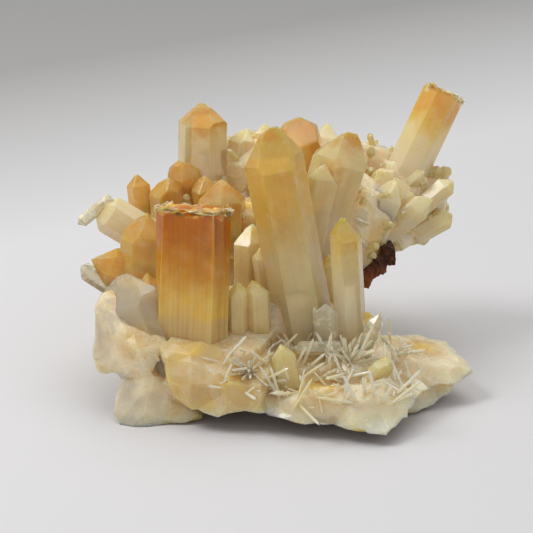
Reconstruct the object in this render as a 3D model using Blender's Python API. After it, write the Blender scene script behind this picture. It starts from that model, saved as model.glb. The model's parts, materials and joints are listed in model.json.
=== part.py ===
"""A mango quartz cluster: orange-tipped quartz crystals that have grown together on a milky mass,
with clear needles over its front, and a crust of brown host rock under its right side.

Lengths are in millimetres and are brought to metres when a mesh is made. X points right, Y away
from the front and Z up. The cluster rests on the flat spot under its middle, at Z = 0.
"""

import math
import random

import bmesh
import bpy
from mathutils import Matrix, Vector
from mathutils.bvhtree import BVHTree

MM = 0.001

# Driving dimensions of the crystals that stand out
TALL_HEIGHT = 66.0
TALL_WIDTH = 14.6
BROKEN_HEIGHT = 49.5
BROKEN_WIDTH = 18.8
REAR_LEFT_HEIGHT = 63.3
REAR_RIGHT_HEIGHT = 64.5
CENTRE_HEIGHT = 61.2
NEEDLE_WIDTH = 1.1

# The gap that the host rock keeps to the quartz above it
ROCK_GAP = 0.35

# Quartz has six prism faces, and its end faces stand this steeply against the level
FACES = 6
FACE_TURN = 2 * math.pi / FACES
END_TILT = math.radians(38.2)
STEEP = math.radians(32)
FLAT = math.radians(44)
SHARP = math.radians(22)
EVEN = (1.0,) * FACES
TABULAR = (0.58, 1.0, 1.0, 0.58, 1.0, 1.0)

# Two points closer than this are one point when a plane cuts a body
TOUCH = 0.001

# Two faces turned against each other by less than this lie in one plane
ONE_PLANE = math.radians(0.1)

# A length that reaches past the whole cluster
FAR = 150

# The grid of a broken end: its lines stand this share of the width apart, but never closer than this
BREAK_SHARE = 1 / 7
BREAK_LEAST = 1.2

# The underside of the overhang at the right: a point on it and the way it faces
OVERHANG_POINT = Vector((26.0, 11.0, 24.5))
OVERHANG_NORMAL = Vector((0.45, -0.19, -0.87)).normalized()

# The edge of the overhang that the crust of host rock hangs from, and the way the crust faces
CRUST_LOW = Vector((22.4, 9.0, 24.3))
CRUST_HIGH = Vector((27.4, 12.5, 29.2))
CRUST_NORMAL = Vector((0.745, -0.169, -0.644)).normalized()
CRUST_HALF = Vector((2.6, 4.6, 2.6))
CRUST_DEPTH = 1.2
CRUST_LUMPS = 6

# The crystals that the photograph shows one by one, from the front to the back
CRYSTALS = {
    "tall": dict(
        base=(9.4, -12, 6), tip=(-1.7, -6, TALL_HEIGHT), width=TALL_WIDTH,
        roll=6, drops=(3.2, 0, 0, 3.2, 1.4, 1.4), tilt=STEEP,
    ),
    "broken": dict(
        base=(-20.4, -21, 6), tip=(-19.2, -18, BROKEN_HEIGHT), width=BROKEN_WIDTH,
        roll=-20, sides=TABULAR, rough=1.0, seed=4,
    ),
    "front_right": dict(
        base=(19.2, -14, 8), tip=(16.7, -12, 45.5), width=8.0,
        roll=14, drops=(1.4, 1.6, 1.6, 1.4, 0, 0), tilt=STEEP,
    ),
    "centre": dict(
        base=(6.5, 5, 20), tip=(18.4, 8, CENTRE_HEIGHT), width=15.4,
        roll=22, drops=(2.0, 0, 1.0, 3.0, 2.0, 1.0), tilt=END_TILT,
    ),
    "centre_ledge": dict(
        base=(4.5, 1, 22), tip=(11.6, 2.0, 55.2), width=12,
        roll=22, drops=(0, 1.0, 3.0, 4.0, 3.0, 0), tilt=FLAT,
    ),
    "behind_tall": dict(
        base=(11, 21, 36), tip=(4.0, 22, 60.2), width=14,
        roll=26, drops=(2.5, 0, 0, 2.5, 1.0, 1.0), tilt=FLAT,
    ),
    "rear_left": dict(
        base=(-19.2, 25, 30), tip=(-18.4, 28, REAR_LEFT_HEIGHT), width=13.0,
        roll=-12, drops=(1.6, 0, 1.0, 2.0, 1.0, 0.5), tilt=FLAT,
    ),
    "rear_right": dict(
        base=(32.6, 28, 40), tip=(44.9, 35, REAR_RIGHT_HEIGHT), width=11.2,
        roll=12, rough=0.9, seed=6,
    ),
    "left_stub": dict(base=(-33.6, 15, 32), tip=(-35.0, 16, 47.8), width=6.0, roll=5, seed=31),
    "left_round": dict(base=(-27.0, 14, 32), tip=(-27.8, 14, 47.4), width=8.0, roll=15, tilt=FLAT, seed=32),
    "middle_round": dict(base=(-13.4, 7, 26), tip=(-13.1, 8, 48.6), width=12.0, roll=20, tilt=FLAT, seed=33),
    "yellow_left": dict(base=(-26, -3, 24), tip=(-45.2, -6, 32.5), width=10.0, roll=30, seed=34),
    "behind_broken": dict(base=(-33.0, -8, 18), tip=(-31.4, -4, 44), width=12.0, roll=4, seed=35),
    "small_orange": dict(base=(-30, -14, 20), tip=(-30.8, -14, 32), width=5.6, roll=10, seed=36),
    "broad_pale": dict(
        base=(-27, -22, 4), tip=(-38.5, -13, 30.5), width=19,
        roll=-24, sides=(0.72, 1, 1, 0.72, 1, 1), drops=(5, 1, 0, 0, 0, 1), tilt=FLAT,
    ),
    "pale_left": dict(base=(-26, 4, 31), tip=(-44.8, 4, 43.2), width=10.0, roll=15, tilt=FLAT, seed=38),
    "clear_hanging": dict(base=(-40.5, 5, 45.0), tip=(-48.7, 0, 39.5), width=3.0, tilt=FLAT, seed=39),
    "clear_left": dict(base=(-38, -3, 22), tip=(-47.6, -8, 31), width=5.0, seed=40),
    "grey_middle": dict(base=(-6, -4, 20), tip=(-6.1, -2, 40.4), width=8.8, roll=25, seed=41),
    "pale_middle": dict(base=(-0.5, -8, 14), tip=(-3.4, -8, 37), width=5.2, seed=42),
    "front_narrow": dict(base=(-8.8, -20, 8), tip=(-9.1, -18, 31.1), width=5.6, seed=43),
    "front_yellow": dict(base=(-3.6, -18, 8), tip=(-4.8, -16, 30.9), width=7.2, roll=20, tilt=FLAT, seed=44),
    "right_clear": dict(base=(20.0, -21, 11), tip=(25.2, -23, 25), width=4.2, roll=12, tilt=STEEP, seed=45),
    "right_orange": dict(base=(22.5, -13, 12), tip=(22.6, -12, 21), width=4.6, seed=46, tilt=FLAT),
    "lying_clear": dict(base=(16, -21.5, 15.4), tip=(4.6, -23, 16), width=3.4, roll=30, tilt=FLAT, seed=47),
    "plate_clear": dict(
        base=(12.5, -18, 13), tip=(12.0, -19, 26), width=6.0, roll=0, sides=TABULAR, tilt=FLAT, seed=48,
    ),
    "front_pale": dict(
        base=(3.6, -31, 8), tip=(1.4, -27.5, 19), width=6.0, roll=10, sides=TABULAR, seed=49,
    ),
    "front_facet": dict(
        base=(20.5, -31, 7), tip=(27.0, -28, 15.6), width=6.0, roll=35, sides=TABULAR, seed=50,
    ),
    "rear_pale": dict(base=(-9, 28, 42), tip=(-7.2, 30, 56), width=8.5, roll=12, tilt=FLAT, seed=51),
    "rear_pale_two": dict(base=(-3, 28, 44), tip=(-2.6, 31, 57), width=7.5, roll=30, tilt=FLAT, seed=52),
    "lobe_tan": dict(base=(34, 22, 30), tip=(31.0, 20, 45.4), width=8.0, roll=10, seed=53),
    "lobe_pale": dict(base=(31, 26, 38), tip=(26.5, 21, 46.8), width=8.4, roll=20, tilt=FLAT, seed=54),
    "lobe_tip": dict(base=(42, 32, 34), tip=(45.2, 34, 43.6), width=5.0, roll=0, seed=55),
    "back_high": dict(base=(12, 32, 40), tip=(14, 42, 54.5), width=10.0, roll=8, seed=56),
    "back_low": dict(base=(-4, 30, 26), tip=(-2, 44.6, 34), width=12.0, roll=40, tilt=FLAT, seed=57),
    "back_left": dict(base=(-22, 26, 26), tip=(-29, 40, 37), width=10.0, roll=20, seed=58),
    "back_right": dict(base=(20, 30, 28), tip=(25, 43, 33), width=9.0, roll=50, seed=59),
    "side_left": dict(base=(-28, 8, 20), tip=(-42, 14, 27), width=9.0, roll=25, seed=60),
}

# The needles of the front: base, tip
NEEDLES = (
    ((10.2, -17.5, 14), (9.5, -19.5, 25.5)),
    ((30.5, -19.5, 12.5), (25.5, -21.5, 18.5)),
    ((29.0, -20.5, 13.5), (36.5, -22.0, 15.0)),
    ((17.2, -21.0, 12), (19.5, -23.0, 19.0)),
    ((18.5, -20.0, 13), (15.5, -21.5, 17.5)),
    ((8.0, -28.5, 9), (15.0, -30.5, 14.0)),
    ((18.0, -25.0, 11.5), (12.5, -26.5, 16.5)),
    ((9.5, -35.5, 6.5), (5.6, -36.5, 15.0)),
    ((-8.0, -22.5, 12.5), (-14.0, -24.5, 14.5)),
    ((-5.2, -23.5, 12), (-9.5, -25.5, 17.5)),
    ((-4.6, -14.5, 17), (-8.5, -16.0, 19.0)),
    ((-3.5, -25.0, 9.0), (-0.8, -27.5, 15.5)),
    ((-2.0, -29.0, 10), (3.0, -33.5, 12)),
    ((-7.4, -22.0, 12.5), (-11.5, -24.0, 18.5)),
    ((28.5, -15.0, 12), (27.5, -17.0, 21.5)),
    ((-27.5, -28.0, 15), (-29.5, -30.5, 18.5)),
)

# The two stars of short needles: centre, way they point, needles, length
STARS = (
    ((17.6, -26.0, 12.6), (0.0, -0.55, 0.85), 12, 7.5),
    ((-6.0, -31.0, 13.0), (-0.1, -0.75, 0.65), 9, 5.0),
)


def cut(body, point, normal):
    """Cuts off what lies beyond a plane and closes the cut with one flat face."""
    everything = body.verts[:] + body.edges[:] + body.faces[:]
    found = bmesh.ops.bisect_plane(
        body, geom=everything, dist=TOUCH, plane_co=point, plane_no=normal, clear_outer=True
    )
    rim = [e for e in found["geom_cut"] if isinstance(e, bmesh.types.BMEdge)]
    if len(rim) > 2:
        bmesh.ops.edgeloop_fill(body, edges=rim)


def box(width, depth, low, high):
    """A plain box about the Z axis, for planes to cut a shape from."""
    body = bmesh.new()
    place = Matrix.Translation((0, 0, (low + high) / 2)) @ Matrix.Diagonal((width, depth, high - low, 1))
    bmesh.ops.create_cube(body, size=1.0, matrix=place)
    return body


def outward(face, roll):
    """The way that a prism face looks. Face 0 looks to the front."""
    turn = math.radians(roll) - math.pi / 2 + face * FACE_TURN
    return Vector((math.cos(turn), math.sin(turn), 0))


def top_faces(body, height):
    """The faces of a broken end."""
    return [f for f in body.faces if f.normal.z > 0.9 and f.calc_center_median().z > height - TOUCH]


def break_top(body, height, step, rough, chance):
    """Breaks the flat end of a crystal into a grid and moves its points up and down."""
    reach = max(v.co.xy.length for v in body.verts)
    for axis in (Vector((1, 0, 0)), Vector((0, 1, 0))):
        for line in range(int(2 * reach / step)):
            offset = -reach + (line + 0.5 + chance.uniform(-0.25, 0.25)) * step
            tops = top_faces(body, height)
            edges = [e for e in body.edges if any(f in tops for f in e.link_faces)]
            corners = [v for v in body.verts if any(f in tops for f in v.link_faces)]
            bmesh.ops.bisect_plane(
                body, geom=corners + edges + tops, dist=TOUCH, plane_co=axis * offset, plane_no=axis
            )
    bmesh.ops.triangulate(body, faces=top_faces(body, height))
    for corner in body.verts:
        if corner.co.z > height - TOUCH:
            corner.co.z += chance.uniform(-rough, rough)


def crystal(base, tip, width, roll=0, sides=EVEN, drops=None, tilt=END_TILT, rough=0.0, seed=0):
    """One quartz crystal as a closed body, from a base inside the mass to its tip.

    sides are how far the six prism faces stand from the axis, as shares of the width's, and drops
    how far below the tip the six end faces meet the axis. A crystal with rough is broken off.
    """
    chance = random.Random(seed)
    base, tip = Vector(base), Vector(tip)
    length = (tip - base).length
    reach = width / 2 * math.cos(FACE_TURN / 2)
    body = box(4 * width, 4 * width, 0, length + 2 * width)
    for face in range(FACES):
        cut(body, outward(face, roll) * reach * sides[face], outward(face, roll))
    if rough:
        cut(body, (0, 0, length), (0, 0, 1))
        break_top(body, length, max(width * BREAK_SHARE, BREAK_LEAST), rough, chance)
    else:
        if drops is None:
            drops = [chance.uniform(0, 0.25) * width for _ in range(FACES)]
        for face in range(FACES):
            normal = outward(face, roll) * math.cos(tilt) + Vector((0, 0, math.sin(tilt)))
            cut(body, (0, 0, length - drops[face]), normal)
        top = max(v.co.z for v in body.verts)
        bmesh.ops.translate(body, verts=body.verts, vec=(0, 0, length - top))
    lean = Vector((0, 0, 1)).rotation_difference(tip - base).to_matrix().to_4x4()
    bmesh.ops.transform(body, matrix=Matrix.Translation(base) @ lean, verts=body.verts)
    return body


def every_other(width):
    """The drops of a plain end with three faces, the others lying past the tip."""
    return (0, -width) * (FACES // 2)


def needle(base, tip, width=NEEDLE_WIDTH, roll=0):
    """A thin clear crystal with a sharp end."""
    return crystal(base, tip, width, roll=roll, drops=every_other(width), tilt=SHARP)


def star(centre, way, count, length, seed):
    """Needles that spread from one point."""
    chance = random.Random(seed)
    made = []
    for _ in range(count):
        spread = Vector([chance.gauss(0, 0.75) for _ in range(3)])
        direction = (Vector(way) + spread).normalized()
        start = Vector(centre) - direction
        end = Vector(centre) + direction * length * chance.uniform(0.6, 1.1)
        made.append(needle(start, end, NEEDLE_WIDTH * chance.uniform(0.9, 1.4), chance.uniform(0, 60)))
    return made


def crag(centre, half, seed, planes=22, keep=0.72, under=None):
    """A lump of milky quartz: flat breaks all round an egg shape. under cuts off its underside."""
    chance = random.Random(seed)
    body = box(2, 2, -1, 1)
    for _ in range(planes):
        normal = Vector([chance.gauss(0, 1) for _ in range(3)]).normalized()
        cut(body, normal * chance.uniform(keep, 1.0), normal)
    place = Matrix.Translation(centre) @ Matrix.Diagonal((*half, 1))
    bmesh.ops.transform(body, matrix=place, verts=body.verts)
    if under:
        cut(body, *under)
    return body


def chunk(corners, under=None):
    """A lump with flat faces between the corners that the photograph shows. under cuts it off below."""
    body = bmesh.new()
    for corner in corners:
        body.verts.new(corner)
    hull = bmesh.ops.convex_hull(body, input=body.verts)
    inner = [v for v in hull["geom_interior"] if isinstance(v, bmesh.types.BMVert)]
    bmesh.ops.delete(body, geom=inner, context="VERTS")
    bmesh.ops.recalc_face_normals(body, faces=body.faces)
    if under:
        cut(body, *under)
    return body


def overhang():
    """The two lumps at the lower right of the back. The host rock is stuck to the near one."""
    near = (
        (20, 4, 20), (28, 11, 21), (22.5, 6, 32), (29.5, 12, 36), (33, 16, 34), (35, 20, 24),
        (24, 12, 44), (18, 26, 44), (16, 26, 18), (14, 6, 30), (34, 26, 40),
    )
    far = (
        (34, 20, 24), (39.5, 26, 26), (43.5, 29, 29), (46, 32, 34.5), (45, 33, 42), (38, 24, 41),
        (33, 18, 38), (30, 26, 48), (26, 36, 46), (24, 34, 22), (38, 38, 30), (43, 38, 38), (32, 17, 30),
    )
    return [
        chunk(near, (CRUST_LOW, CRUST_NORMAL)),
        chunk(far, (OVERHANG_POINT, OVERHANG_NORMAL)),
    ]


def rear_mass():
    """The high back of the cluster, which overhangs at its right."""
    under = (OVERHANG_POINT, OVERHANG_NORMAL)
    return [
        crag((-5, 20, 22), (31, 20, 24), seed=3, planes=34, under=under),
        crag((14, 24, 34), (20, 16, 16), seed=5, under=under),
        crag((-20, 22, 32), (17, 16, 12), seed=12),
        crag((22, 34, 44), (13, 7, 9), seed=14, under=under),
        crag((-5, 30, 46), (12, 8, 9), seed=15),
    ]


def front_mass():
    """The low front: the block and the stub under the broken crystal, and the plate at its right."""
    block = (
        (-26, -27, 19), (-26.5, -29, 17.5), (-25.5, -33, 11), (-24, -34, 7), (-20, -35, 5.5),
        (-13.5, -37, 3.5), (-12, -36.5, 5), (-12, -34, 13), (-4, -26, 17), (-24, -22, 20),
        (0, -14, 3), (-24, -14, 4), (-20, -10, 21), (4, -10, 20), (-20, -31, 14),
    )
    stub = (
        (-12.2, -36.8, 4.8), (-3.2, -38, 5.4), (-12.2, -35.4, 12.4), (-3.4, -36, 12.2),
        (-9, -28, 16), (0, -28, 14), (-9, -12, 6), (3, -12, 6), (-8, -12, 16), (3, -12, 14),
    )
    plate = (
        (-2.6, -36, 6.2), (-2.5, -38, 4.8), (3.5, -39, 4.6), (9.5, -40.5, 3.6), (20, -43, 3.6),
        (37.5, -27, 7), (-3, -33, 8), (7, -32, 8.4), (29, -19, 12.6), (0, -24, 13), (16, -22, 13.4),
        (0, -14, 3), (30, -16, 4), (20, -8, 14), (2, -8, 16),
    )
    lip = (
        (1.2, -36.2, 8.6), (9.3, -36.6, 8.9), (16.4, -33.5, 11.6), (23.4, -34, 10.4), (27.5, -31, 11.6),
        (35, -29, 7.2), (33, -33.5, 5.6), (3.5, -38.8, 4.8), (20, -42.8, 3.8), (25, -44.6, 2.5),
        (26.5, -43.5, 3.5), (20, -26, 8), (6, -34, 5), (30, -26, 5),
    )
    mound = (
        (12, -28.5, 11), (15, -29.5, 12), (20, -29.5, 12.2), (23, -27.5, 12), (21.5, -22, 14.2),
        (14.5, -22, 14.4), (10.5, -24, 13.5), (17, -27, 14), (10, -20, 8), (24, -20, 8), (16, -30, 8),
    )
    lobe = (
        (30, -8, 13), (36.5, -5, 12.5), (43, -5, 10.5), (44.5, -8, 9.5), (47, -13, 8), (49.5, -17, 7.5),
        (48, -19, 6), (46, -20, 5.5), (38, -18, 11), (30, -22, 12), (36, -6, 5), (24, -5, 6),
        (22, -20, 4), (20, -12, 15), (40, -24, 6), (42, -12, 3.5),
    )
    lobe_foot = (
        (43, -20, 5), (44, -20, 3.5), (39.5, -23, 1.5), (37.5, -24, 0.8), (30, -29, 1), (28, -22, 1.5),
        (30, -12, 6), (40, -12, 6), (36, -22, 7), (28, -26, 7),
    )
    return [chunk(corners) for corners in (block, stub, plate, lip, mound, lobe, lobe_foot)]


def left_mass():
    """The pale lump at the left and the grey one below it, which nearly reaches the floor."""
    lump = (
        (-42, -16, 27), (-42.5, -20, 23), (-44, -20, 14), (-43.5, -20, 9), (-41.5, -22, 8.5),
        (-35.5, -27, 10.5), (-32.5, -30, 18), (-30, -29, 12), (-38, -8, 26), (-26, -8, 24),
        (-40, -6, 18), (-38, -6, 9), (-24, -8, 8), (-26, -27, 18),
    )
    grey = (
        (-37.5, -25, 9), (-38, -27, 6), (-38.2, -30, 2), (-37, -32, 0), (-34, -33.5, -0.6), (-29, -33, -0.5),
        (-21.5, -32, 0.8), (-18, -31, 1.5), (-25.5, -29, 9.5), (-30, -29, 11.5), (-36, -12, 10),
        (-16, -12, -1), (-34, -10, -1), (-22, -8, 10),
    )
    return [chunk(lump), chunk(grey)]


def foot():
    """What the cluster rests on, a low lump under its middle, and the lump between front and back."""
    return [
        crag((-7, 3, 6), (25, 22, 12), seed=21),
        crag((-3, -4, 17), (20, 14, 9), seed=22),
    ]


def scatter(ground, count, centre, low, high, widths, lengths, seed):
    """Small crystals on the mass, where a ray from far off towards centre meets it.

    low and high are the least and the greatest turn and rise of the rays, in degrees.
    """
    chance = random.Random(seed)
    tree = BVHTree.FromObject(ground, bpy.context.evaluated_depsgraph_get())
    made = []
    while len(made) < count:
        turn = math.radians(chance.uniform(low[0], high[0]))
        rise = math.radians(chance.uniform(low[1], high[1]))
        way = Vector((math.cos(turn) * math.cos(rise), math.sin(turn) * math.cos(rise), math.sin(rise)))
        start = (Vector(centre) + way * FAR) * MM
        place, normal, _, _ = tree.ray_cast(start, -way)
        if place is None:
            continue
        place = place / MM
        growth = (normal + way + Vector([chance.gauss(0, 0.35) for _ in range(3)])).normalized()
        width = chance.uniform(*widths)
        length = chance.uniform(*lengths)
        made.append(
            crystal(
                place - growth * width, place + growth * length, width,
                roll=chance.uniform(0, 60), drops=every_other(width),
            )
        )
    return made


def object_from(body, name):
    """An object in metres from a body in millimetres."""
    mesh = bpy.data.meshes.new(name)
    bmesh.ops.triangulate(body, faces=body.faces)
    body.to_mesh(mesh)
    body.free()
    mesh.transform(Matrix.Scale(MM, 4))
    made = bpy.data.objects.new(name, mesh)
    bpy.context.scene.collection.objects.link(made)
    return made


def combine(first, others, operation):
    """Applies one exact Boolean of an object with several others, which are used up."""
    group = bpy.data.collections.new("others")
    bpy.context.scene.collection.children.link(group)
    for item in others:
        group.objects.link(item)
    step = first.modifiers.new(operation, "BOOLEAN")
    step.operation = operation
    step.operand_type = "COLLECTION"
    step.collection = group
    step.solver = "EXACT"
    graph = bpy.context.evaluated_depsgraph_get()
    graph.update()
    result = bpy.data.meshes.new_from_object(first.evaluated_get(graph))
    first.modifiers.clear()
    first.data = result
    for item in others:
        bpy.data.objects.remove(item)
    bpy.data.collections.remove(group)
    return first


def union(bodies, name):
    """Joins overlapping closed bodies into one solid object."""
    items = [object_from(body, f"{name}_{number}") for number, body in enumerate(bodies)]
    items[0].name = name
    return combine(items[0], items[1:], "UNION")


def tidied(item):
    """Joins the triangles that lie in one plane and cuts each flat face again with as few as it takes."""
    body = bmesh.new()
    body.from_mesh(item.data)
    bmesh.ops.remove_doubles(body, verts=body.verts, dist=TOUCH * MM)
    bmesh.ops.dissolve_limit(body, angle_limit=ONE_PLANE, verts=body.verts, edges=body.edges)
    bmesh.ops.triangulate(body, faces=body.faces)
    body.to_mesh(item.data)
    body.free()
    return item


def material(name, colour, roughness, metallic=0.0):
    """A plain material with the part's colour."""
    made = bpy.data.materials.new(name)
    made.use_nodes = True
    shader = made.node_tree.nodes["Principled BSDF"]
    shader.inputs["Base Color"].default_value = (*colour, 1)
    shader.inputs["Roughness"].default_value = roughness
    shader.inputs["Metallic"].default_value = metallic
    return made


def quartz_cluster():
    """The quartz: mass, crystals, druse and needles as one solid, cut flat where it rests."""
    ground = union(rear_mass() + overhang() + front_mass() + left_mass() + foot(), "mass")
    bodies = [crystal(**sizes) for sizes in CRYSTALS.values()]
    bodies += [needle(base, tip) for base, tip in NEEDLES]
    for number, (centre, way, count, length) in enumerate(STARS):
        bodies += star(centre, way, count, length, seed=number)
    # Druse on the top, the right side, the back and the left side
    bodies += scatter(ground, 14, (0, 26, 30), (0, 45), (360, 88), (3.0, 5.0), (1.0, 2.6), seed=62)
    bodies += scatter(ground, 6, (30, 24, 34), (-60, 10), (30, 50), (2.6, 4.2), (0.8, 2.2), seed=65)
    bodies += scatter(ground, 12, (0, 10, 22), (20, 5), (160, 50), (4.0, 7.0), (2.0, 7.0), seed=63)
    bodies += scatter(ground, 6, (-20, 4, 20), (150, 5), (230, 50), (3.0, 5.0), (2.0, 5.0), seed=64)
    others = [object_from(body, f"crystal_{number}") for number, body in enumerate(bodies)]
    cluster = combine(ground, others, "UNION")
    below = object_from(box(2 * FAR, 2 * FAR, -FAR, 0), "below")
    combine(cluster, [below], "DIFFERENCE")
    tidied(cluster)
    cluster.name = "quartz_cluster"
    cluster.data.materials.clear()
    cluster.data.materials.append(material("mango_quartz", (0.75, 0.55, 0.3), 0.25))
    return cluster


def grown(body):
    """The same body a little larger about its middle, to leave a gap round it."""
    middle = sum((v.co for v in body.verts), Vector()) / len(body.verts)
    nearest = min((middle - f.calc_center_median()).dot(-f.normal) for f in body.faces)
    size = Matrix.Scale(1 + ROCK_GAP / nearest, 4)
    place = Matrix.Translation(middle) @ size @ Matrix.Translation(-middle)
    bmesh.ops.transform(body, matrix=place, verts=body.verts)
    return body


def host_rock():
    """The brown crust of the rock that the cluster grew on, under the overhang at the right."""
    lumps = []
    for number in range(CRUST_LUMPS):
        along = CRUST_LOW.lerp(CRUST_HIGH, number / (CRUST_LUMPS - 1))
        lumps.append(crag(along + CRUST_NORMAL * CRUST_DEPTH, CRUST_HALF, seed=71 + number, planes=12))
    rock = union(lumps, "host_rock")
    neighbours = [object_from(grown(body), "neighbour") for body in overhang() + rear_mass()]
    combine(rock, neighbours, "DIFFERENCE")
    tidied(rock)
    rock.data.materials.clear()
    rock.data.materials.append(material("host_rock", (0.1, 0.04, 0.02), 0.85))
    return rock


def main():
    for item in list(bpy.data.objects):
        bpy.data.objects.remove(item)
    quartz_cluster()
    host_rock()


main()
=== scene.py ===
"""The looks of the mango quartz cluster, laid out as a Blender add-on and run as a script.

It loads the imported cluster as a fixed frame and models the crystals, the milky mass, the druse, the
needles and the crust of host rock over it. Lengths in the tables are in millimetres, in the frame's
own axes: X right, Y away from the front, Z up, Z = 0 where the cluster rests.
"""

import json
import math
import random

import bpy
from bpy.props import FloatProperty, FloatVectorProperty, IntProperty, PointerProperty
from mathutils import Matrix, Vector

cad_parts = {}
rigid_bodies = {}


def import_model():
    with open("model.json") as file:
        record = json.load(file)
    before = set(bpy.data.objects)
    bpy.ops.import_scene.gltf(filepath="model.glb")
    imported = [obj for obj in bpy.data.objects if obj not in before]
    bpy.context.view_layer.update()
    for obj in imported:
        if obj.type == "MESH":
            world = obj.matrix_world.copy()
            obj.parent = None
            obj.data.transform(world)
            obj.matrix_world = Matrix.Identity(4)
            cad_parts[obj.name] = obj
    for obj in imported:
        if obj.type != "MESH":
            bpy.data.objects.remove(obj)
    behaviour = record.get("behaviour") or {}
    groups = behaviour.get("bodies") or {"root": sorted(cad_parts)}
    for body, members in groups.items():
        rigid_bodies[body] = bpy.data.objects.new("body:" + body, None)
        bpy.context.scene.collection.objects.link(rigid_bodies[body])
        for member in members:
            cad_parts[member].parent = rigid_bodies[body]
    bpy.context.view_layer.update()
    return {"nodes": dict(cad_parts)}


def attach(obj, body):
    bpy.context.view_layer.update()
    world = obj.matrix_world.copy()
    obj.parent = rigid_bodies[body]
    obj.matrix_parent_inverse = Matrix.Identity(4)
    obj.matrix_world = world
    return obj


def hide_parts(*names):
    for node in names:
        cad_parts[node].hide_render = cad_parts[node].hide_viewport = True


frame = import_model()

bl_info = {
    "name": "Mango Quartz Cluster",
    "version": (1, 0, 0),
    "blender": (4, 5, 0),
    "location": "3D View > Sidebar > Quartz",
    "description": "Models a cluster of orange-tipped quartz crystals with clear needles",
    "category": "Add Mesh",
}

MM = 0.001
QUARTZ = "quartz_cluster"
ROCK = "host_rock"
IOR_QUARTZ = 1.544

# How near to a cutting plane a point counts as on it, and how short an edge counts as none
ON_PLANE = 1e-6
NO_LENGTH = 1e-7

# Quartz has six prism faces, and its end faces stand this steeply against the level
FACES = 6
FACE_TURN = 2 * math.pi / FACES
END_TILT = math.radians(38.2)
STEEP = math.radians(32)
FLAT = math.radians(44)
SHARP = math.radians(22)
EVEN = (1.0,) * FACES
TABULAR = (0.58, 1.0, 1.0, 0.58, 1.0, 1.0)
# How far end faces may drop below the tip by chance, as a share of the width
STAGGER = 0.25
# Edges up to these angles, in degrees, are shaded smooth
SMOOTH = 14
SMOOTH_NEEDLES = 12

# The underside of the overhang at the right: a point on it and the way it faces
OVERHANG_POINT = Vector((26.0, 11.0, 24.5))
OVERHANG_NORMAL = Vector((0.45, -0.19, -0.87)).normalized()
CRUST_LOW = Vector((22.4, 9.0, 24.3))
CRUST_NORMAL = Vector((0.745, -0.169, -0.644)).normalized()

# The camera: what it looks at, how far off it is, how high it stands, and its lens
CAMERA_TARGET = Vector((-2.0, 0.0, 28.5))
CAMERA_DISTANCE = 430.0
CAMERA_RISE = math.radians(20)
PHOTO_SIZE = 533
FOCAL_PIXELS = 1720
SENSOR = 36.0


def paint(red, green, blue):
    """A linear colour from the red, green and blue of a screen, 0 to 255."""
    return tuple(
        ((value / 255 + 0.055) / 1.055) ** 2.4 if value > 10 else value / 255 / 12.92
        for value in (red, green, blue)
    )


def length_setting(name, default, description):
    """A length of the panel, in metres."""
    return FloatProperty(name=name, description=description, default=default, unit="LENGTH")


def colour_setting(name, screen, description):
    """A colour of the panel, from its red, green and blue on a screen."""
    return FloatVectorProperty(
        name=name, description=description, subtype="COLOR", size=3, default=paint(*screen),
        min=0, max=1,
    )


class ClusterSizes(bpy.types.PropertyGroup):
    """The sizes that give the cluster its shape."""

    tall_height: length_setting("Tall Crystal Height", 0.066, "From the floor to its tip")
    tall_width: length_setting("Tall Crystal Width", 0.0146, "Across its corners")
    broken_height: length_setting("Broken Crystal Height", 0.0503, "From the floor to its end")
    broken_width: length_setting("Broken Crystal Width", 0.0188, "Across its corners")
    needle_width: length_setting("Needle Width", 0.0009, "Thickness of the clear needles")
    grain: length_setting("Mass Grain", 0.0008, "Size of the cells that the mass is rebuilt from")
    druse_count: IntProperty(
        name="Druse Count", description="How many small crystals cover the mass", default=210
    )


class ClusterColours(bpy.types.PropertyGroup):
    """The colours of the quartz and the rock."""

    rust: colour_setting("Rust", (206, 124, 14), "Deep orange of the broken crystal's end")
    amber: colour_setting("Amber", (222, 160, 48), "Brownish orange below the rust")
    mango: colour_setting("Mango", (242, 186, 86), "Orange of the crystals' tips")
    honey: colour_setting("Honey", (242, 206, 104), "Yellow of the upper parts of the crystals")
    tan: colour_setting("Tan", (224, 194, 132), "Brownish cream of the crystals' lower parts")
    cream: colour_setting("Cream", (249, 228, 170), "Pale yellow of the crystals at the back")
    milk: colour_setting("Milk", (246, 228, 190), "Pale colour of the mass and the druse")
    smoke: colour_setting("Smoke", (214, 202, 176), "Greyish cream of the lumps at the left")
    # Umber is also the painted shade on the faces of the mass that look down
    umber: colour_setting("Umber", (104, 62, 30), "Brown of the stained underside")
    frost: colour_setting("Frost", (252, 241, 214), "White of veils and frosted spots")
    clear: colour_setting("Clear", (255, 244, 218), "Colour of the clear crystals and needles")
    rock: colour_setting("Rock", (66, 34, 18), "Brown of the host rock crust")


def sizes():
    """The cluster's sizes as the panel holds them."""
    return bpy.context.scene.cluster_sizes


def tint(name):
    """One of the panel's colours as a plain tuple."""
    return tuple(getattr(bpy.context.scene.cluster_colours, name))


# Choosing and editing

def pick(*items):
    """Selects only these objects and makes the first one active."""
    bpy.ops.object.select_all(action="DESELECT")
    for item in items:
        item.select_set(True)
    if items:
        bpy.context.view_layer.objects.active = items[0]


def to_mode(mode):
    """Goes to object mode or edit mode with the active object."""
    bpy.ops.object.mode_set(mode=mode)


def edit(item):
    """Enters edit mode on an object."""
    pick(item)
    to_mode("EDIT")


def select_everything():
    """In edit mode, selects the whole mesh."""
    bpy.ops.mesh.select_all(action="SELECT")


def settle(item):
    """Brings an object's place and turn into its mesh."""
    pick(item)
    bpy.ops.object.transform_apply(location=True, rotation=True, scale=True)


def apply_modifier(item, kind, **values):
    """Adds a modifier, sets its values and applies it."""
    pick(item)
    step = item.modifiers.new(kind.lower(), kind)
    for name, value in values.items():
        setattr(step, name, value)
    bpy.ops.object.modifier_apply(modifier=step.name)


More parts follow.
